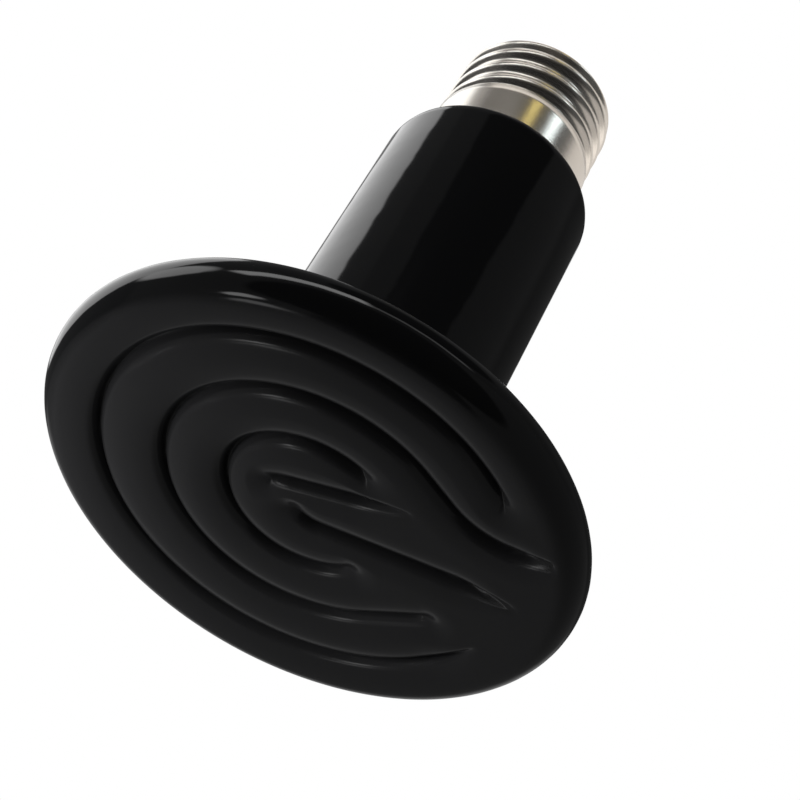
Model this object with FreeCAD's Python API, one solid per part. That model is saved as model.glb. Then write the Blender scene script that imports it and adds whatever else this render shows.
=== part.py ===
import FreeCAD, Part
import math
import os
from FreeCAD import Vector

# A ceramic heat emitter standing on its heating face: a glazed disc with ridges, a plain neck
# and an Edison screw cap. Millimetres. Z runs from the face, at zero, towards the cap.

# Heating disc and neck, one ceramic casting
disc_radius = 40.0
rim_front_round = 4.0
rim_back_round = 3.2
back_slope_deg = 12.0
neck_radius = 17.1
neck_foot_round = 6.0
shoulder_height = 74.4
shoulder_round = 3.8

# Spigot on top of the neck, which carries the cap
spigot_radius = 11.4
spigot_height = 7.5
lead_hole_depth = 6.0
lead_hole_clearance = 0.15

# Valleys between the ridges of the heating face
crown_radius = 5.6
crown_half_width = 4.9
crown_skim = 0.02
face_overcut = 1.0

# Courses of the five valleys, in the plane of the face
outer_ring_radius = 31.0
outer_ring_start_deg = -24.0
outer_ring_sweep_deg = -300.0
middle_ring_radius = 21.5
middle_ring_centre = (0.5, -0.5)
middle_ring_start_deg = -38.0
middle_ring_sweep_deg = -254.0
middle_ring_tail = 10.5
lead_in_run = 6.0
lead_in_bend_radius = 13.3
lead_in_bend_deg = 60.0
lead_in_reach = 1.0
inner_ring_radius = 12.4
inner_ring_centre = (0.8, -0.9)
inner_ring_start_deg = -46.0
inner_ring_sweep_deg = -246.0
inner_ring_tail = 1.5
upper_slot_start = (-4.9, -2.7)
upper_slot_heading_deg = -40.0
upper_slot_bend_radius = 7.0
upper_slot_bend_deg = 35.0
upper_slot_run = 16.0
lower_slot_start = (-1.9, 1.5)
lower_slot_heading_deg = 60.0
lower_slot_bend_radius = 6.0
lower_slot_bend_deg = -53.0
lower_slot_run = 26.0

# Screw cap. The barrel is the envelope of its rolled thread.
collar_radius = 13.25
collar_height = 9.0
shell_height = 23.3
shell_wall = 0.3
thread_crest_radius = 13.15
thread_root_radius = 12.1
shell_end_radius = 10.6
shell_lip = 0.4

# Insulator and contact that close the cap
insulator_depth = 3.0
insulator_rise = 2.4
insulator_top_radius = 6.0
contact_radius = 4.9
contact_thickness = 0.6
solder_radius = 2.4
solder_rise = 0.9

# Leads inside the cap
lead_radius = 0.4
lead_clearance = 0.3
sleeve_radius = 1.3
shell_lead_offset = 6.0
shell_lead_rise = 3.0

# Rounds are made in flat steps no wider than these, so that the mesh of the part stays light
round_step_deg = 30.0
flank_step_deg = 32.0
small_step_deg = 45.0

ORIGIN = Vector(0, 0, 0)
Z_AXIS = Vector(0, 0, 1)


def at(r, z):
    """Point of a section, at radius r and height z."""
    return Vector(r, 0, z)


def round_points(centre, radius, start_deg, end_deg, widest_step=round_step_deg):
    """Points of a round about its centre, from one angle to another, in even steps."""
    steps = math.ceil(abs(end_deg - start_deg) / widest_step)
    angles = [math.radians(start_deg + (end_deg - start_deg) * step / steps) for step in range(steps + 1)]
    return [centre + at(radius * math.cos(angle), radius * math.sin(angle)) for angle in angles]


def section(points):
    """Face on the XZ plane inside the closed outline through the points."""
    return Part.Face(Part.makePolygon(points + points[:1]))


def turned(points):
    """Solid of revolution about Z."""
    return section(points).revolve(ORIGIN, Z_AXIS, 360)


def tube(inner, outer, bottom, length):
    """Upright tube about Z."""
    hole = Part.makeCylinder(inner, length, at(0, bottom))
    return Part.makeCylinder(outer, length, at(0, bottom)).cut(hole)


def spigot_top():
    """Height of the top of the spigot."""
    return shoulder_height + spigot_height


def body_blank():
    """Disc, neck and spigot before the face is given its valleys."""
    front = at(disc_radius - rim_front_round, rim_front_round)
    back = at(disc_radius - rim_back_round, rim_front_round)
    back_end_deg = 90 - back_slope_deg
    slope = math.radians(back_slope_deg)
    rim = round_points(front, rim_front_round, -90, 0)
    rim += round_points(back, rim_back_round, 0, back_end_deg, small_step_deg)[1:]
    foot_r = neck_radius + neck_foot_round
    foot_start_r = foot_r - neck_foot_round * math.sin(slope)
    foot_start_z = rim[-1].z + (rim[-1].x - foot_start_r) * math.tan(slope)
    foot = at(foot_r, foot_start_z + neck_foot_round * math.cos(slope))
    shoulder = at(neck_radius - shoulder_round, shoulder_height - shoulder_round)
    outline = [ORIGIN] + rim
    outline += round_points(foot, neck_foot_round, 270 - back_slope_deg, 180, small_step_deg)
    outline += round_points(shoulder, shoulder_round, 0, 90, small_step_deg)
    outline += [at(spigot_radius, shoulder_height), at(spigot_radius, spigot_top()), at(0, spigot_top())]
    return turned(outline)


def ridge_flank():
    """One side of a valley, from the sharp line in its middle out to the crest of the ridge.

    The ridge is a round of crown_radius whose crest lies crown_half_width from the valley's middle.
    """
    crown = at(crown_half_width, crown_radius - crown_skim)
    middle_deg = math.degrees(math.acos(crown_half_width / crown_radius))
    crest_deg = math.degrees(math.asin(crown.z / crown_radius))
    return round_points(crown, crown_radius, 180 + middle_deg, 180 + crest_deg, flank_step_deg)


def half_valley():
    """Half section of the space above a valley."""
    flank = ridge_flank()
    return section(flank + [at(flank[-1].x, -face_overcut), at(0, -face_overcut)])


def whole_valley():
    """Section of the space above a valley."""
    right = ridge_flank()
    left = [at(-point.x, point.z) for point in reversed(right[1:])]
    above = [at(right[-1].x, -face_overcut), at(-right[-1].x, -face_overcut)]
    return section(left + right + above)


def placed(shape, point, heading_deg):
    """Copy turned so that it faces along the heading, at a point of the face."""
    copy = shape.copy()
    copy.rotate(ORIGIN, Z_AXIS, heading_deg - 90)
    copy.translate(Vector(point[0], point[1], 0))
    return copy


def turn_centre(point, heading_deg, radius, turn_deg):
    """Centre of a bend, and the distance to it, which is negative for a turn to smaller angles."""
    side = math.copysign(radius, turn_deg)
    along = math.radians(heading_deg)
    return (point[0] - side * math.sin(along), point[1] + side * math.cos(along)), side


def after_turn(centre, side, heading_deg):
    """Point where a bend about its centre ends with a heading."""
    along = math.radians(heading_deg)
    return centre[0] + side * math.sin(along), centre[1] - side * math.cos(along)


def ahead(point, heading_deg, length):
    """Point a length further along a heading."""
    along = math.radians(heading_deg)
    return point[0] + length * math.cos(along), point[1] + length * math.sin(along)


def valley(start, heading_deg, steps):
    """Space cut out of the face along a course of tangent bends and straight runs.

    A step is ("run", length) or ("bend", radius, turn in degrees). Both ends are round.
    """
    tip = half_valley().revolve(ORIGIN, Z_AXIS, 180)
    point = start
    heading = heading_deg
    pieces = [placed(tip, point, heading + 180)]
    for step in steps:
        here = placed(whole_valley(), point, heading)
        if step[0] == "run":
            end = ahead(point, heading, step[1])
            pieces.append(here.extrude(Vector(end[0] - point[0], end[1] - point[1], 0)))
            point = end
        else:
            centre, side = turn_centre(point, heading, step[1], step[2])
            pieces.append(here.revolve(Vector(centre[0], centre[1], 0), Z_AXIS, step[2]))
            heading += step[2]
            point = after_turn(centre, side, heading)
    pieces.append(placed(tip, point, heading))
    return pieces[0].multiFuse(pieces[1:]).removeSplitter()


def walk_back(point, heading_deg, steps):
    """Start and heading of a course that reaches the point and heading after its steps."""
    heading = heading_deg
    for step in reversed(steps):
        if step[0] == "run":
            point = ahead(point, heading, -step[1])
        else:
            centre, side = turn_centre(point, heading, step[1], step[2])
            heading -= step[2]
            point = after_turn(centre, side, heading)
    return point, heading


def ring_start(centre, radius, angle_deg):
    """Point of a ring at an angle, and the heading there of a walk towards smaller angles."""
    angle = math.radians(angle_deg)
    return (centre[0] + radius * math.cos(angle), centre[1] + radius * math.sin(angle)), angle_deg - 90


def outer_valley():
    """Open ring just inside the rim."""
    start, heading = ring_start((0, 0), outer_ring_radius, outer_ring_start_deg)
    return valley(start, heading, [("bend", outer_ring_radius, outer_ring_sweep_deg)])


def middle_valley():
    """Comes in from the rim, bends into the second ring and leaves it along a straight tail."""
    meeting, heading = ring_start(middle_ring_centre, middle_ring_radius, middle_ring_start_deg)
    lead_in = [("run", lead_in_reach), ("bend", lead_in_bend_radius, lead_in_bend_deg), ("run", lead_in_run)]
    start, start_heading = walk_back(meeting, heading, lead_in)
    ring = [("bend", middle_ring_radius, middle_ring_sweep_deg), ("run", middle_ring_tail)]
    return valley(start, start_heading, lead_in + ring)


def inner_valley():
    """Third ring, round the middle of the face."""
    start, heading = ring_start(inner_ring_centre, inner_ring_radius, inner_ring_start_deg)
    steps = [("bend", inner_ring_radius, inner_ring_sweep_deg), ("run", inner_ring_tail)]
    return valley(start, heading, steps)


def upper_slot():
    """Slot above the broad ridge that runs in from the rim."""
    steps = [("bend", upper_slot_bend_radius, upper_slot_bend_deg), ("run", upper_slot_run)]
    return valley(upper_slot_start, upper_slot_heading_deg, steps)


def lower_slot():
    """Slot below that ridge."""
    steps = [("bend", lower_slot_bend_radius, lower_slot_bend_deg), ("run", lower_slot_run)]
    return valley(lower_slot_start, lower_slot_heading_deg, steps)


def lead_hole(offset):
    """Blind hole for a lead in the top of the spigot."""
    bottom = at(offset, spigot_top() - lead_hole_depth)
    return Part.makeCylinder(lead_radius + lead_hole_clearance, lead_hole_depth, bottom)


def ceramic_body():
    """The whole casting, with its valleys and the two lead holes."""
    cuts = [outer_valley(), middle_valley(), inner_valley(), upper_slot(), lower_slot()]
    cuts += [lead_hole(0), lead_hole(shell_lead_offset)]
    body = body_blank()
    for cut in cuts:
        body = body.cut(cut)
    return body


def shell_top():
    """Height of the rolled-in end of the shell."""
    return shoulder_height + shell_height


def shell_bore():
    """Radius of the bore behind the thread's root."""
    return thread_root_radius - shell_wall


def bore_end():
    """Bevel inside the rolled-in end, from the bore to the under side of the lip."""
    under_lip = shell_top() - shell_wall
    roll = shell_bore() - shell_end_radius
    return [at(shell_bore(), under_lip - roll), at(shell_end_radius, under_lip)]


def screw_shell():
    """Nickel-plated shell: collar, barrel with the thread's crests as its outside, rolled-in end."""
    seat = shoulder_height
    top = shell_top()
    collar_top = seat + collar_height
    collar_bore = collar_radius - shell_wall
    roll = thread_crest_radius - shell_end_radius
    outside = [at(collar_bore, seat), at(collar_radius, seat), at(collar_radius, collar_top),
               at(thread_crest_radius, collar_top)]
    outside += round_points(at(shell_end_radius, top - roll), roll, 0, 90, small_step_deg)
    lip = shell_end_radius - shell_lip
    inside = [at(lip, top), at(lip, top - shell_wall)] + bore_end()[::-1]
    inside += [at(shell_bore(), collar_top - shell_wall), at(collar_bore, collar_top - shell_wall)]
    return turned(outside + inside)


def cap_cement():
    """Ring between the spigot and the collar."""
    return tube(spigot_radius, collar_radius - shell_wall, shoulder_height, spigot_height)


def insulator_top():
    """Height of the insulator's top, where the contact plate lies."""
    return shell_top() + insulator_rise


def lead_passage():
    """Radius of the hole for the centre lead."""
    return lead_radius + lead_clearance


def cap_insulator():
    """Glass plug held by the rolled-in end, with a cone that stands out to the contact."""
    top = shell_top()
    lip = shell_end_radius - shell_lip
    outline = [at(lead_passage(), top - insulator_depth), at(shell_bore(), top - insulator_depth)] + bore_end()
    outline += [at(lip, top - shell_wall), at(insulator_top_radius, insulator_top()),
                at(lead_passage(), insulator_top())]
    return turned(outline)


def centre_contact():
    """Brass plate with an eyelet for the centre lead."""
    seat = insulator_top()
    top = seat + contact_thickness
    return turned([at(lead_passage(), seat), at(contact_radius, seat), at(contact_radius, top),
                   at(lead_passage(), top)])


def contact_solder():
    """Low dome of solder over the eyelet."""
    seat = insulator_top() + contact_thickness
    ball = (solder_radius ** 2 + solder_rise ** 2) / (2 * solder_rise)
    start_deg = math.degrees(math.acos(solder_radius / ball))
    dome = round_points(at(0, seat + solder_rise - ball), ball, start_deg, 90)
    return turned([at(0, seat)] + dome)


def centre_lead():
    """Straight wire from its hole in the casting to the solder."""
    foot = spigot_top() - lead_hole_depth
    return Part.makeCylinder(lead_radius, insulator_top() + contact_thickness - foot, at(0, foot))


def lead_sleeve():
    """Insulating tube on the centre lead, between the spigot and the insulator."""
    return tube(lead_radius, sleeve_radius, spigot_top(), shell_top() - insulator_depth - spigot_top())


def shell_lead():
    """Wire that rises from the spigot, turns outwards and ends on the wall of the shell."""
    foot = spigot_top() - lead_hole_depth
    corner = at(shell_lead_offset, spigot_top() + shell_lead_rise)
    beyond = at(shell_bore() + lead_radius, corner.z)
    path = Part.makePolygon([at(shell_lead_offset, foot), corner, beyond])
    start = Part.Wire(Part.makeCircle(lead_radius, at(shell_lead_offset, foot), Z_AXIS))
    mitred = 1
    wire = path.makePipeShell([start], True, False, mitred)
    return wire.common(Part.makeCylinder(shell_bore(), shell_top()))


PIECES = (ceramic_body, screw_shell, cap_cement, cap_insulator, centre_contact, contact_solder,
          centre_lead, lead_sleeve, shell_lead)

os.makedirs("parts", exist_ok=True)
for piece in PIECES:
    piece().exportStep("parts/" + piece.__name__ + ".step")
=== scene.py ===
import math

import bpy
import numpy as np
from mathutils import Matrix, Vector


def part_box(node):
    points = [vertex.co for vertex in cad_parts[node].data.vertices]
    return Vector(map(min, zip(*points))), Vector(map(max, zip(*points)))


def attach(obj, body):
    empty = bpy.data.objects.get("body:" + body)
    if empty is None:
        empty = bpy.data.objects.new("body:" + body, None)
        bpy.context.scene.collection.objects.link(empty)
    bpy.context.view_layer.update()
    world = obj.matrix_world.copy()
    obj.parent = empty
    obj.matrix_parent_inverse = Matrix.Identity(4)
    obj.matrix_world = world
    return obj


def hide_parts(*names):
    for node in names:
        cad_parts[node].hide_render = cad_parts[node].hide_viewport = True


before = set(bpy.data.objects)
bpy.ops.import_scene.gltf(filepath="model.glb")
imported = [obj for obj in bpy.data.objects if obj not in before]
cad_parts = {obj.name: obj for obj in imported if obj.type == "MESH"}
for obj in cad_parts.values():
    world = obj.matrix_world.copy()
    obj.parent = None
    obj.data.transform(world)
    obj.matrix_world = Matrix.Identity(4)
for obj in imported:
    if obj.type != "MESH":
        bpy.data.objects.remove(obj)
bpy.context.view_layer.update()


# ---- Ceramic body ----
# The heating disc, its neck and the spigot under the cap are one casting of black-glazed ceramic,
# with the heating coil fired into it. Winding valleys divide the face into rounded ridges.

body_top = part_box("ceramic_body")[1]
disc_radius = body_top.x
spigot_top = body_top.z
spigot_height = 0.0075
spigot_radius = 0.0114
shoulder_height = spigot_top - spigot_height
shoulder_round = 0.0038
neck_radius = 0.0171
neck_foot_round = 0.006
rim_front_round = 0.004
rim_back_round = 0.0032
back_slope_deg = 12.0
body_turns = 400
face_rings = 190

crown_radius = 0.010
crown_half_width = 0.0049
crease_half_width = 0.0017
crease_depth = 0.0015
crease_power = 3
crease_run_out = 0.004
outer_ring_radius = 0.031
middle_ring_radius = 0.0215
middle_ring_centre = (0.0005, -0.0005)
inner_ring_radius = 0.0124
inner_ring_centre = (0.0008, -0.0009)
valley_shift = (0.0002, -0.0006)

# Region of the face where the glaze turns rougher and its base colour greyer; the greyer colour is painted
# light.
glaze_face_edge = (disc_radius - 0.004, disc_radius - 0.001)
glaze_face_depth = (0.0032, 0.0055)


def arc(centre, radius, start_deg, end_deg, count):
    """Points (r, z) of a round: centre + radius * (cos, sin) of angles evenly spaced from start to end."""
    angle = np.radians(np.linspace(start_deg, end_deg, count))
    return np.column_stack([centre[0] + radius * np.cos(angle), centre[1] + radius * np.sin(angle)])


def straight(start, end, count):
    """Points (r, z) evenly spaced between two others, without the two themselves."""
    share = np.linspace(0, 1, count + 2)[1:-1, None]
    return np.array(start) * (1 - share) + np.array(end) * share


def turned(profile, turns):
    """Grid of points: each (r, z) of the profile carried round Z as (r cos a, r sin a, z)."""
    angle = np.arange(turns) * 2 * math.pi / turns
    r, z = profile[:, 0, None], profile[:, 1, None]
    return np.stack([r * np.cos(angle), r * np.sin(angle), z + 0 * angle], axis=2)


def turned_piece(name, rows, material):
    """Smooth object of a grid whose rows run round Z. A profile that starts and ends on the axis gets
    a fan of triangles at each end; any other profile closes on itself as a ring."""
    count, turns = rows.shape[:2]
    here = np.arange(turns)
    there = (here + 1) % turns
    solid = np.hypot(*rows[0, 0, :2]) < 1e-9
    if solid:
        points = np.vstack([rows[0, :1], rows[1:-1].reshape(-1, 3), rows[-1, :1]])
        low = (np.arange(count - 3) * turns + 1)[:, None]
        high = low + turns
        last = len(points) - 1
        ends = np.vstack([
            np.column_stack([0 * here, 1 + there, 1 + here]),
            np.column_stack([last + 0 * here, last - turns + here, last - turns + there])]).tolist()
    else:
        points = rows.reshape(-1, 3)
        low = (np.arange(count) * turns)[:, None]
        high = np.roll(low, -1, axis=0)
        ends = []
    quads = np.stack([low + here, low + there, high + there, high + here], axis=2).reshape(-1, 4)
    mesh = bpy.data.meshes.new(name)
    mesh.from_pydata(points.tolist(), [], quads.tolist() + ends)
    mesh.shade_smooth()
    mesh.materials.append(material)
    piece = bpy.data.objects.new(name, mesh)
    bpy.context.scene.collection.objects.link(piece)
    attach(piece, "root")
    return piece


def body_profile():
    """Section (r, z) of the casting: face, front round, back round, sloping back, foot, neck, shoulder and
    spigot."""
    slope = math.radians(back_slope_deg)
    front = arc((disc_radius - rim_front_round, rim_front_round), rim_front_round, -90, 0, 12)
    back = arc((disc_radius - rim_back_round, rim_front_round), rim_back_round, 0, 90 - back_slope_deg, 9)[1:]
    foot_r = neck_radius + neck_foot_round
    foot_start = foot_r - neck_foot_round * math.sin(slope)
    foot_z = back[-1, 1] + (back[-1, 0] - foot_start) * math.tan(slope) + neck_foot_round * math.cos(slope)
    foot = arc((foot_r, foot_z), neck_foot_round, 270 - back_slope_deg, 180, 10)
    shoulder = arc((neck_radius - shoulder_round, shoulder_height - shoulder_round), shoulder_round, 0, 90, 9)
    return np.vstack([
        (0, 0), straight((0, 0), front[0], face_rings), front, back, straight(back[-1], foot[0], 4), foot,
        straight(foot[-1], shoulder[0], 3), shoulder, (spigot_radius, shoulder_height),
        (spigot_radius, spigot_top), (0, spigot_top)])


def step_on(point, heading, step, way=1):
    """Where a step ends when it is walked forwards (way 1) or backwards (way -1), its new heading, and the
    centre of a bend: p + s r n, with n the unit normal of the heading and s the side it turns to."""
    ahead = np.array([math.cos(heading), math.sin(heading)])
    if step[0] == "run":
        return point + way * step[1] * ahead, heading, None
    radius, turn = step[1], math.radians(step[2])
    side = math.copysign(radius, turn)
    centre = point + side * np.array([-ahead[1], ahead[0]])
    heading += way * turn
    return centre - side * np.array([-math.sin(heading), math.cos(heading)]), heading, centre


def course(x, y, start, heading, steps):
    """Distance of each (x, y) from a course of tangent runs and bends, how far along it the nearest point
    lies, and the course's length.

    A run is |q - (p + t u)| with t kept on the run. A bend is ||q - c| - r| inside its sweep. Both ends
    of the course add the distance to a point, which makes the ends of a valley round.
    """
    point, done = np.array(start), 0.0
    nearest, along = np.hypot(x - point[0], y - point[1]), np.zeros_like(x)
    for step in steps:
        end, new_heading, centre = step_on(point, heading, step)
        if centre is None:
            length = step[1]
            ahead = (end - point) / length
            travelled = np.clip((x - point[0]) * ahead[0] + (y - point[1]) * ahead[1], 0, length)
            gap = np.hypot(x - point[0] - travelled * ahead[0], y - point[1] - travelled * ahead[1])
        else:
            radius, turn = step[1], new_heading - heading
            side = math.copysign(1, turn)
            middle = (heading + new_heading) / 2 - side * math.pi / 2
            off = (np.arctan2(y - centre[1], x - centre[0]) - middle + math.pi) % (2 * math.pi) - math.pi
            length = radius * abs(turn)
            travelled = radius * side * off + length / 2
            gap = np.abs(np.hypot(x - centre[0], y - centre[1]) - radius)
            gap = np.where(np.abs(off) <= abs(turn) / 2, gap, np.inf)
        along = np.where(gap < nearest, done + travelled, along)
        nearest = np.minimum(gap, nearest)
        point, heading, done = end, new_heading, done + length
    gap = np.hypot(x - point[0], y - point[1])
    return np.minimum(gap, nearest), np.where(gap < nearest, done, along), done


def on_ring(centre, radius, angle_deg):
    """Point of a ring at an angle, and the heading there of a walk towards smaller angles."""
    angle = math.radians(angle_deg)
    return np.array(centre) + radius * np.array([math.cos(angle), math.sin(angle)]), angle - math.pi / 2


def outer_course():
    """Open ring just inside the rim. A course is its start, its heading, its steps and its fades, which are
    the lengths over which the valley runs out at its start and at its end."""
    return *on_ring((0, 0), outer_ring_radius, -24), [("bend", outer_ring_radius, -302)], (0, 0.012)


def middle_course():
    """Comes in from the rim, bends into the second ring and leaves it along a straight tail."""
    lead_in = [("run", 0.005), ("bend", 0.0133, 60), ("run", 0.006)]
    point, heading = on_ring(middle_ring_centre, middle_ring_radius, -38)
    for step in reversed(lead_in):
        point, heading, _ = step_on(point, heading, step, -1)
    return point, heading, lead_in + [("bend", middle_ring_radius, -254), ("run", 0.0105)], (0.009, 0)


def inner_course():
    """Third ring, round the middle of the face."""
    point, heading = on_ring(inner_ring_centre, inner_ring_radius, -46)
    return point, heading, [("bend", inner_ring_radius, -246), ("run", 0.0015)], (0, 0)


def upper_slot():
    """Slot above the broad ridge that runs in from the rim."""
    steps = [("bend", 0.010, 17), ("run", 0.009), ("bend", 0.04, -6), ("run", 0.005)]
    return (-0.0044, -0.0041), math.radians(-20), steps, (0, 0.010)


def lower_slot():
    """Slot below that ridge."""
    return (-0.0013, 0.0007), math.radians(52), [("bend", 0.006, -45), ("run", 0.029)], (0, 0.010)


def relief(x, y):
    """Depth of the face at (x, y), d away from the nearest valley: the broad round R - sqrt(R^2 - (w - d)^2)
    of the ridge, and in the valley a crease of c (1 - d / e)^p. Towards the ends of a valley w goes to 0 over
    its fades, and c over the fades or the crease's run-out."""
    depth = np.zeros_like(x)
    across, up = x - valley_shift[0], y - valley_shift[1]
    courses = (outer_course(), middle_course(), inner_course(), upper_slot(), lower_slot())
    for start, heading, steps, fades in courses:
        gap, along, length = course(across, up, start, heading, steps)
        width, strength = np.ones_like(x), np.ones_like(x)
        for fade, way in zip(fades, (along, length - along)):
            if fade:
                width *= 1 - np.clip(1 - way / fade, 0, 1) ** 2
            strength *= 1 - np.clip(1 - way / max(fade, crease_run_out), 0, 1) ** 2
        inside = np.clip(crown_half_width * width - gap, 0, None)
        crown = crown_radius - np.sqrt(crown_radius ** 2 - inside ** 2)
        crease = crease_depth * strength * np.clip(1 - gap / crease_half_width, 0, None) ** crease_power
        depth = np.maximum(depth, crown + crease)
    return depth


def material(name):
    """New material with its node tree, its Principled shader and Object coordinates."""
    made = bpy.data.materials.new(name)
    made.use_nodes = True
    tree = made.node_tree
    place = tree.nodes.new("ShaderNodeTexCoord").outputs["Object"]
    return made, tree, tree.nodes["Principled BSDF"], place


def noise(tree, place, scale, detail, stretch=(1, 1, 1)):
    """Noise over the object, with its coordinates stretched by a Mapping node; returns its Factor output."""
    mapping = tree.nodes.new("ShaderNodeMapping")
    mapping.inputs["Scale"].default_value = stretch
    texture = tree.nodes.new("ShaderNodeTexNoise")
    texture.inputs["Scale"].default_value = scale
    texture.inputs["Detail"].default_value = detail
    tree.links.new(place, mapping.inputs["Vector"])
    tree.links.new(mapping.outputs["Vector"], texture.inputs["Vector"])
    return texture.outputs["Fac"]


def between(tree, factor, low, high, start=0.3, end=0.7):
    """Value that goes from low to high while the factor goes from start to end."""
    span = tree.nodes.new("ShaderNodeMapRange")
    span.inputs["From Min"].default_value = start
    span.inputs["From Max"].default_value = end
    span.inputs["To Min"].default_value = low
    span.inputs["To Max"].default_value = high
    tree.links.new(factor, span.inputs["Value"])
    return span.outputs["Result"]


def tinted(tree, factor, first, second):
    """Colour that goes from the first to the second with the factor."""
    ramp = tree.nodes.new("ShaderNodeValToRGB")
    ramp.color_ramp.elements[0].position = 0.3
    ramp.color_ramp.elements[0].color = (*first, 1)
    ramp.color_ramp.elements[1].position = 0.7
    ramp.color_ramp.elements[1].color = (*second, 1)
    tree.links.new(factor, ramp.inputs["Fac"])
    return ramp.outputs["Color"]


def combined(tree, operation, first, second):
    """Value of a Math node that puts two others together."""
    node = tree.nodes.new("ShaderNodeMath")
    node.operation = operation
    tree.links.new(first, node.inputs[0])
    tree.links.new(second, node.inputs[1])
    return node.outputs[0]


def bumped(tree, shader, height, distance):
    """Lets a height texture tilt the shader's normal, with relief of the given depth in metres."""
    bump = tree.nodes.new("ShaderNodeBump")
    bump.inputs["Distance"].default_value = distance
    tree.links.new(height, bump.inputs["Height"])
    tree.links.new(bump.outputs["Normal"], shader.inputs["Normal"])


def black_glaze():
    """Glossy black glaze with a faint orange peel and uneven gloss, rougher over the face, where a greyer
    base colour is painted light that lifts its dark reflections.
    """
    made, tree, shader, place = material("black_glaze")
    cloud = noise(tree, place, 60, 3)
    reach = tree.nodes.new("ShaderNodeVectorMath")
    reach.operation = "LENGTH"
    tree.links.new(place, reach.inputs[0])
    split = tree.nodes.new("ShaderNodeSeparateXYZ")
    tree.links.new(place, split.inputs["Vector"])
    # Over the face the glaze turns rougher and its base colour greyer; the greyer colour is painted light
    # standing in for what the face mirrors.
    on_front = between(tree, split.outputs["Z"], 0.85, 0, *glaze_face_depth)
    on_face = between(tree, reach.outputs["Value"], 1, 0, *glaze_face_edge)
    face_dulling_and_painted_lift = combined(tree, "MULTIPLY", on_front, on_face)
    grey = combined(tree, "ADD", face_dulling_and_painted_lift, between(tree, cloud, 0, 0.15))
    colour = tinted(tree, grey, (0.0045, 0.0046, 0.005), (0.0145, 0.0145, 0.0152))
    tree.links.new(colour, shader.inputs["Base Color"])
    tree.links.new(between(tree, grey, 0.08, 0.19), shader.inputs["Roughness"])
    shader.inputs["IOR"].default_value = 1.52
    bumped(tree, shader, noise(tree, place, 110, 2), 0.00008)
    return made


grid = turned(body_profile(), body_turns)
face_rows = np.hypot(grid[:, 0, 0], grid[:, 0, 1]) <= disc_radius - rim_front_round + 1e-6
face_rows &= grid[:, 0, 2] < 1e-6
grid[face_rows, :, 2] += relief(grid[face_rows, :, 0], grid[face_rows, :, 1])
body = turned_piece("glazed_body", grid, black_glaze())
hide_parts("ceramic_body")


# ---- Screw shell ----
# The cap is a thin shell of nickel-plated steel: a plain satin collar round the cement, a rolled
# Edison thread of right-handed turns, and an end rolled in over the insulator.

shell_low, shell_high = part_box("screw_shell")
collar_radius = shell_high.x
shell_foot = shell_low.z
shell_end = shell_high.z
shell_wall = 0.0003
collar_height = 0.009
thread_crest = 0.01315
thread_root = 0.01225
thread_pitch = 0.0254 / 7
thread_turn_in = 0.0014
thread_overrun = 0.0012
end_radius = 0.0106
end_lip = 0.0004
shell_turns = 240
thread_rings = 130


def thread_wave(phase):
    """Height from -1 at a root to 1 at a crest of a thread of equal arcs, at a phase counted in turns.

    A crest arc has h = A - (R - sqrt(R^2 - x^2)) within a quarter of the pitch, with A half the depth and
    R = (x^2 + A^2) / 2A at a quarter of the pitch; a root arc is the same one upside down.
    """
    depth = (thread_crest - thread_root) / 2
    quarter = thread_pitch / 4
    bend = (quarter ** 2 + depth ** 2) / (2 * depth)
    off = np.abs((phase + 0.5) % 1 - 0.5) * thread_pitch
    crest = depth - bend + np.sqrt(np.clip(bend ** 2 - off ** 2, 0, None))
    root = bend - depth - np.sqrt(np.clip(bend ** 2 - (2 * quarter - off) ** 2, 0, None))
    return np.where(off < quarter, crest, root) / depth


def shell_profile():
    """Section (r, z) of the shell: foot, collar, thread zone, rolled-in end, lip, and back down the
    inside."""
    bore = thread_root - shell_wall
    roll = thread_crest - end_radius
    edge = 0.00015
    collar_top = shell_foot + collar_height
    foot = arc((collar_radius - edge, shell_foot + edge), edge, -90, 0, 4)
    over = arc((end_radius, shell_end - roll), roll, 0, 90, 12)
    lip = end_radius - end_lip
    return np.vstack([
        (collar_radius - shell_wall, shell_foot), foot, straight(foot[-1], (collar_radius, collar_top), 6),
        (collar_radius, collar_top), straight((thread_crest, collar_top), over[0], thread_rings), over,
        (lip, shell_end), (lip, shell_end - shell_wall), (end_radius, shell_end - shell_wall),
        (bore, shell_end - shell_wall - bore + end_radius), (bore, collar_top - shell_wall),
        (collar_radius - shell_wall, collar_top - shell_wall)])


def with_thread(grid):
    """Moves the outside of the grid in along r by the thread's wave, whose phase is z / pitch - angle / turn.
    The thread comes up and dies away over the turn-in."""
    r = np.hypot(grid[..., 0], grid[..., 1])
    angle = np.arctan2(grid[..., 1], grid[..., 0])
    start = shell_foot + collar_height
    last = shell_end - (thread_crest - end_radius)
    z = grid[..., 2]
    phase = (z - start) / thread_pitch - angle / (2 * math.pi)
    fall = (thread_crest - thread_root) / 2 * (1 - thread_wave(phase))
    run_in = np.clip((z - start) / thread_turn_in, 0, 1)
    run_out = np.clip((last + thread_overrun - z) / thread_turn_in, 0, 1)
    outside = (z > start) & (r > thread_root - shell_wall / 2)
    share = np.where(outside, (r - fall * run_in * run_out) / r, 1)
    grid[..., 0] *= share
    grid[..., 1] *= share
    return grid


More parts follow.
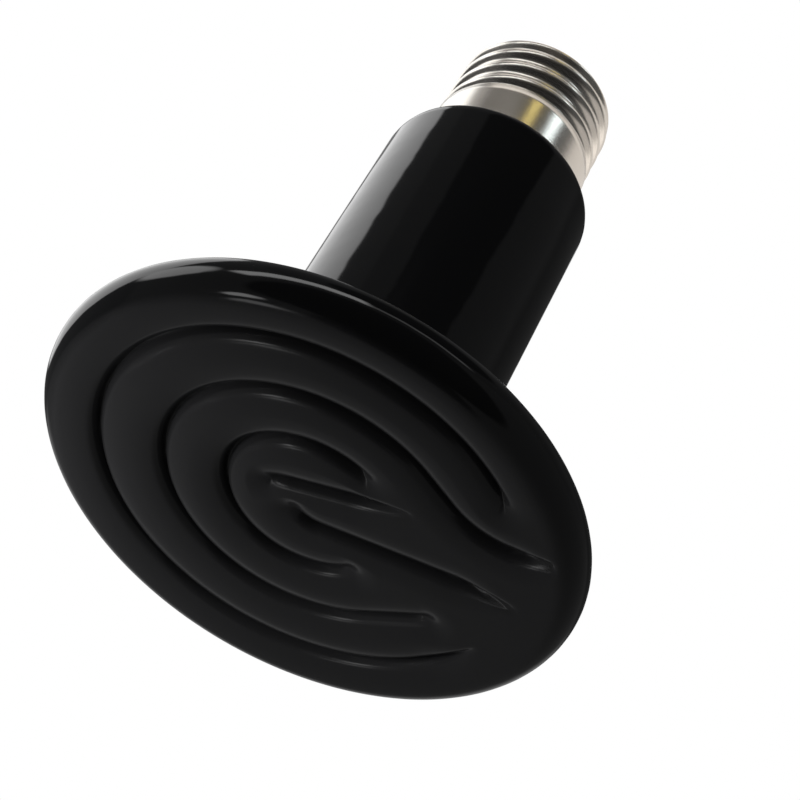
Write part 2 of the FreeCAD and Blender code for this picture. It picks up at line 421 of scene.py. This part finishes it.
def nickel():
    """Satin nickel plating, a trace duller on the rolled thread, with fine marks round the axis."""
    made, tree, shader, place = material("nickel_plate")
    cloud = noise(tree, place, 90, 3)
    tree.links.new(tinted(tree, cloud, (0.66, 0.63, 0.58), (0.74, 0.71, 0.66)), shader.inputs["Base Color"])
    shader.inputs["Metallic"].default_value = 1
    split = tree.nodes.new("ShaderNodeSeparateXYZ")
    tree.links.new(place, split.inputs["Vector"])
    collar_top = shell_foot + collar_height
    blend = 0.0005
    gloss = between(tree, split.outputs["Z"], 0.25, 0.27, collar_top - blend, collar_top + blend)
    tree.links.new(gloss, shader.inputs["Roughness"])
    bumped(tree, shader, noise(tree, place, 400, 3, (1, 1, 8)), 0.00001)
    return made


shell = turned_piece("nickel_shell", with_thread(turned(shell_profile(), shell_turns)), nickel())
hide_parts("screw_shell")


# ---- Cap cement ----
# A ring of white refractory cement fills the room between the spigot and the collar. It was poured
# in as a paste and baked, and it is all that holds the cap on.


def refractory_cement():
    """Matt greyish-white cement with grains and small pores."""
    made, tree, shader, place = material("refractory_cement")
    grain = noise(tree, place, 1200, 4)
    tree.links.new(tinted(tree, grain, (0.52, 0.50, 0.45), (0.70, 0.68, 0.62)), shader.inputs["Base Color"])
    shader.inputs["Roughness"].default_value = 0.9
    bumped(tree, shader, grain, 0.00008)
    return made


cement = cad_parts["cap_cement"]
cement.data.materials.clear()
cement.data.materials.append(refractory_cement())


# ---- Cap insulator ----
# A plug of black glass, moulded into the rolled-in end of the shell. It keeps the centre contact
# apart from the shell and stands out of it as a blunt cone.

insulator_low, insulator_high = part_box("cap_insulator")
insulator_flat = 0.006
insulator_turns = 160
passage_radius = 0.0007


def insulator_profile():
    """Section (r, z) of the plug: under side, wall, bevel under the lip, cone with a rounded top, and
    passage."""
    wall = insulator_high.x
    under_lip = shell_end - shell_wall
    lip = end_radius - end_lip
    top = insulator_high.z
    edge = 0.0006
    lean = math.degrees(math.atan2(lip - insulator_flat, top - under_lip))
    cone_end = arc((insulator_flat - edge, top - edge), edge, lean, 90, 8)
    inner, outer = (passage_radius, insulator_low.z), (wall, insulator_low.z)
    return np.vstack([
        inner, straight(inner, outer, 2), outer, (wall, under_lip - wall + end_radius),
        (end_radius, under_lip), (lip, under_lip), straight((lip, under_lip), cone_end[0], 6), cone_end,
        (passage_radius, top)])


def black_glass():
    """Opaque black cap glass with flow marks round the axis."""
    made, tree, shader, place = material("black_glass")
    flow = noise(tree, place, 300, 2)
    colour = tinted(tree, flow, (0.012, 0.012, 0.013), (0.022, 0.021, 0.020))
    tree.links.new(colour, shader.inputs["Base Color"])
    tree.links.new(between(tree, flow, 0.10, 0.22), shader.inputs["Roughness"])
    bumped(tree, shader, flow, 0.00005)
    return made


insulator = turned_piece("glass_insulator", turned(insulator_profile(), insulator_turns), black_glass())
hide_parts("cap_insulator")


# ---- Centre contact ----
# A stamped brass plate lies on top of the insulator, with an eyelet in its middle through which the
# centre lead comes up.

contact_low, contact_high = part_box("centre_contact")
contact_turns = 120


def contact_profile():
    """Section (r, z) of the plate, with rounded edges where it shows."""
    edge = 0.00025
    rim = contact_high.x
    upper = arc((rim - edge, contact_high.z - edge), edge, 0, 90, 6)
    return np.vstack([
        (passage_radius, contact_low.z), (rim, contact_low.z), upper, (passage_radius, contact_high.z)])


def stamped_brass():
    """Satin brass, slightly darker in patches."""
    made, tree, shader, place = material("stamped_brass")
    patch = noise(tree, place, 500, 3)
    tree.links.new(tinted(tree, patch, (0.60, 0.45, 0.22), (0.74, 0.59, 0.33)), shader.inputs["Base Color"])
    shader.inputs["Metallic"].default_value = 1
    tree.links.new(between(tree, patch, 0.22, 0.38), shader.inputs["Roughness"])
    bumped(tree, shader, patch, 0.00001)
    return made


contact = turned_piece("brass_contact", turned(contact_profile(), contact_turns), stamped_brass())
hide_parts("centre_contact")


# ---- Contact solder ----
# A low dome of tin solder closes the eyelet and joins the centre lead to the plate.

solder_low, solder_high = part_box("contact_solder")
solder_turns = 64


def solder_profile():
    """Section (r, z) of the dome: a round through its edge and its top, R = (a^2 + h^2) / 2h."""
    edge, rise = solder_high.x, solder_high.z - solder_low.z
    ball = (edge ** 2 + rise ** 2) / (2 * rise)
    start = math.degrees(math.acos(edge / ball))
    dome = arc((0, solder_high.z - ball), ball, start, 90, 14)
    dome[-1, 0] = 0
    return np.vstack([(0, solder_low.z), dome])


def tin_solder():
    """Dull tin with a faintly crystalline skin."""
    made, tree, shader, place = material("tin_solder")
    skin = noise(tree, place, 900, 3)
    tree.links.new(tinted(tree, skin, (0.50, 0.50, 0.50), (0.66, 0.66, 0.65)), shader.inputs["Base Color"])
    shader.inputs["Metallic"].default_value = 1
    tree.links.new(between(tree, skin, 0.28, 0.45), shader.inputs["Roughness"])
    bumped(tree, shader, skin, 0.00004)
    return made


solder = turned_piece("solder_dome", turned(solder_profile(), solder_turns), tin_solder())
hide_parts("contact_solder")


# ---- Leads and sleeve ----
# Two nickel wires come out of the casting. The centre one runs through an insulating tube to the
# solder, the other turns outwards and is welded to the wall of the shell.


def nickel_wire():
    """Drawn wire, slightly dull."""
    made, tree, shader, place = material("nickel_wire")
    drawn = noise(tree, place, 2000, 2, (1, 1, 0.05))
    tree.links.new(tinted(tree, drawn, (0.50, 0.49, 0.46), (0.62, 0.60, 0.57)), shader.inputs["Base Color"])
    shader.inputs["Metallic"].default_value = 1
    shader.inputs["Roughness"].default_value = 0.35
    return made


def sleeve_tube():
    """Unglazed white ceramic tube."""
    made, tree, shader, place = material("sleeve_ceramic")
    grain = noise(tree, place, 900, 3)
    tree.links.new(tinted(tree, grain, (0.72, 0.71, 0.67), (0.82, 0.81, 0.77)), shader.inputs["Base Color"])
    shader.inputs["Roughness"].default_value = 0.8
    return made


wire_finish = nickel_wire()
for lead in ("centre_lead", "shell_lead"):
    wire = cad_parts[lead]
    wire.data.materials.clear()
    wire.data.materials.append(wire_finish)

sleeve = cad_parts["lead_sleeve"]
sleeve.data.materials.clear()
sleeve.data.materials.append(sleeve_tube())


# ---- Camera ----
# The photograph looks up at the heating face from below its plane, with the cap pointing away to
# the upper right. Its axes are written in the frame of the object.

photo_right = Vector((0.92718541, 0, 0.37460273))
photo_down = Vector((0.26913797, 0.69556582, -0.66614784))
photo_forward = Vector((-0.26056086, 0.71846238, 0.64491848))


def photo_frame(place):
    """Matrix of an object at a place that looks the way the photograph does."""
    turn = Matrix((photo_right, -photo_down, -photo_forward)).transposed()
    return Matrix.Translation(place) @ turn.to_4x4()


camera_data = bpy.data.cameras.new("photo_camera")
camera_data.sensor_width = 36
camera_data.lens = 89.0
camera = bpy.data.objects.new("photo_camera", camera_data)
camera.matrix_world = photo_frame(Vector((0.07794, -0.20201, -0.15619)))
bpy.context.scene.collection.objects.link(camera)
bpy.context.scene.camera = camera


# ---- Studio ----
# A pale floor under the heating face, a white background, and soft lamps that light the colours at a
# plain level. What the glaze mirrors is a mostly dark room with a few white areas, as the photograph's
# reflections show, and the cap has lamps of its own.


def pale_floor():
    """Pale floor that is there for the camera above it alone, so that light and sight reach the face from
    below."""
    made, tree, shader, _ = material("pale_floor")
    shader.inputs["Base Color"].default_value = (0.86, 0.86, 0.86, 1)
    shader.inputs["Roughness"].default_value = 0.9
    path = tree.nodes.new("ShaderNodeLightPath")
    side = tree.nodes.new("ShaderNodeNewGeometry")
    front = combined(tree, "SUBTRACT", path.outputs["Is Camera Ray"], side.outputs["Backfacing"])
    clear = tree.nodes.new("ShaderNodeBsdfTransparent")
    mix = tree.nodes.new("ShaderNodeMixShader")
    tree.links.new(front, mix.inputs[0])
    tree.links.new(clear.outputs[0], mix.inputs[1])
    tree.links.new(shader.outputs[0], mix.inputs[2])
    tree.links.new(mix.outputs[0], tree.nodes["Material Output"].inputs["Surface"])
    return made


floor_half = 3.0
floor_corners = [(x * floor_half, y * floor_half, 0) for x, y in ((-1, -1), (1, -1), (1, 1), (-1, 1))]
floor_mesh = bpy.data.meshes.new("studio_floor")
floor_mesh.from_pydata(floor_corners, [], [(0, 1, 2, 3)])
floor_mesh.materials.append(pale_floor())
floor = bpy.data.objects.new("studio_floor", floor_mesh)
bpy.context.scene.collection.objects.link(floor)


def seen(angle, turn):
    """Unit vector at an angle from the photograph's line of sight, turned clockwise from its right, in
    degrees."""
    angle, turn = math.radians(angle), math.radians(turn)
    across = photo_right * math.cos(turn) + photo_down * math.sin(turn)
    return photo_forward * math.cos(angle) + across * math.sin(angle)


def disc(centre, radius, edge=3):
    """A round part of the surroundings: where it lies, its radius and the width of its edge, in degrees."""
    return seen(*centre), radius, edge


def inside(tree, ray, part):
    """Value that is 1 for a ray into a round part of the surroundings and 0 outside it."""
    centre, radius, edge = part
    dot = tree.nodes.new("ShaderNodeVectorMath")
    dot.operation = "DOT_PRODUCT"
    dot.inputs[1].default_value = centre
    tree.links.new(ray, dot.inputs[0])
    outer = math.cos(math.radians(min(radius + edge / 2, 180)))
    inner = math.cos(math.radians(max(radius - edge / 2, 0)))
    return between(tree, dot.outputs["Value"], 0, 1, outer, inner)


def layer(tree, ray, under, parts, level):
    """The surroundings with another level where all the parts overlap."""
    factor = inside(tree, ray, parts[0])
    for part in parts[1:]:
        factor = combined(tree, "MULTIPLY", factor, inside(tree, ray, part))
    mix = tree.nodes.new("ShaderNodeMix")
    mix.inputs["B"].default_value = level
    tree.links.new(factor, mix.inputs["Factor"])
    tree.links.new(under, mix.inputs["A"])
    return mix.outputs["Result"]


def surroundings(tree, ray):
    """Level of light from each direction, painted in layers from a plain grey room."""
    room_level = 0.09
    room = tree.nodes.new("ShaderNodeValue")
    room.outputs[0].default_value = room_level
    layers = [
        ([disc((18, 119), 28, 16)], 0.35),
        ([disc((55, 180), 38), disc((90, 255), 90)], 0.06),
        ([disc((62, 348), 26, 10)], 0.07),
        ([disc((30, 5), 24, 8)], 0.04),
        ([disc((85, 300), 40, 2)], 0.07),
        ([disc((85, 302), 25, 2)], 0.015),
        ([disc((168, 280), 48, 4)], 0.02),
        ([disc((137, 118), 18, 4)], 0.02),
        ([disc((45, 222), 27, 2)], 1.5),
        ([disc((85, 225), 14, 4)], 2.0),
        ([disc((105, 262), 24, 4), disc((0, 0), 111, 2), disc((180, 0), 81, 2)], 2.8),
        ([disc((106, 306), 18, 4), disc((0, 0), 109, 2), disc((180, 0), 76, 2)], 0.8),
        ([disc((126, 164), 5, 2)], 2.5),
        ([disc((118, 145), 5, 2)], 1.2),
    ]
    result = room.outputs[0]
    for parts, level in layers:
        result = layer(tree, ray, result, parts, level)
    return result


def studio_world():
    """White to the camera, through anything clear, and to gloss that shows what stands right behind the
    object; the surroundings to everything else."""
    world = bpy.data.worlds.new("studio")
    world.use_nodes = True
    tree = world.node_tree
    tree.nodes["Background"].inputs["Color"].default_value = (1, 1, 1, 1)
    ray = tree.nodes.new("ShaderNodeTexCoord").outputs["Generated"]
    path = tree.nodes.new("ShaderNodeLightPath")
    backdrop = inside(tree, ray, disc((0, 0), 9, 4))
    mirrored = combined(tree, "MULTIPLY", path.outputs["Is Glossy Ray"], backdrop)
    direct = combined(tree, "MAXIMUM", path.outputs["Is Camera Ray"], path.outputs["Is Transmission Ray"])
    shown = combined(tree, "MAXIMUM", direct, mirrored)
    white = tree.nodes.new("ShaderNodeMix")
    white.inputs["B"].default_value = 1.0
    tree.links.new(shown, white.inputs["Factor"])
    tree.links.new(surroundings(tree, ray), white.inputs["A"])
    tree.links.new(white.outputs["Result"], tree.nodes["Background"].inputs["Strength"])
    bpy.context.scene.world = world


studio_world()


def lamp(name, towards, place, size, power, colour=(1, 1, 1)):
    """Soft lamp of a given width and height in metres that the camera doesn't see."""
    light = bpy.data.lights.new(name, "AREA")
    light.shape = "RECTANGLE"
    light.size, light.size_y = size
    light.energy = power
    light.color = colour
    holder = bpy.data.objects.new(name, light)
    holder.location = place
    holder.rotation_euler = (Vector(towards) - Vector(place)).to_track_quat("-Z", "Y").to_euler()
    holder.visible_camera = False
    bpy.context.scene.collection.objects.link(holder)
    return holder


def cap_lamp(name, centre, spread, level, colour):
    """Lamp for the cap alone, with the spread of its width and height in degrees as seen from the cap. The
    height lies along the axis. Its level is radiance, so P = level * pi * area."""
    middle = Vector((0, 0, shell_foot + collar_height))
    distance = 0.3
    size = [2 * distance * math.tan(math.radians(angle / 2)) for angle in spread]
    power = level * math.pi * size[0] * size[1]
    holder = lamp(name, middle, middle + seen(*centre) * distance, size, power, colour)
    holder.light_linking.receiver_collection = cap_pieces


cap_pieces = bpy.data.collections.new("cap_pieces")
for piece in (shell, insulator, contact, solder):
    cap_pieces.objects.link(piece)

cap_lamps = [
    ("cap_right", (42, 359), (60, 146), 0.8, (1, 0.94, 0.89)),
    ("cap_front", (85, 290), (60, 130), 0.05, (1, 0.86, 0.7)),
    ("cap_low", (102, 50), (60, 60), 0.5, (1, 0.94, 0.89)),
    ("cap_left", (62, 250), (30, 90), 0.3, (1, 0.95, 0.92)),
    ("cap_amber", (90, 301), (7, 7), 2.6, (1, 0.8, 0.25)),
    ("cap_spark", (84, 323), (9, 9), 4.5, (0.85, 0.95, 1)),
]
for settings in cap_lamps:
    cap_lamp(*settings)

soft_lamps = [
    ("soft_left", (-0.6, -0.5, 0.9), 0.5, 5.6),
    ("soft_right", (0.8, -0.3, 0.6), 0.5, 3.2),
    ("soft_back", (0.2, 0.9, 0.7), 0.5, 3.6),
    ("soft_below", (-0.3, -0.3, -1.0), 0.5, 1.4),
    ("soft_face", (-0.08, 0, -0.045), 0.03, 0.066),
]
for name, place, side, power in soft_lamps:
    lamp(name, (0, 0, 0), place, (side, side), power).visible_glossy = False

bpy.context.scene.view_settings.view_transform = "Standard"
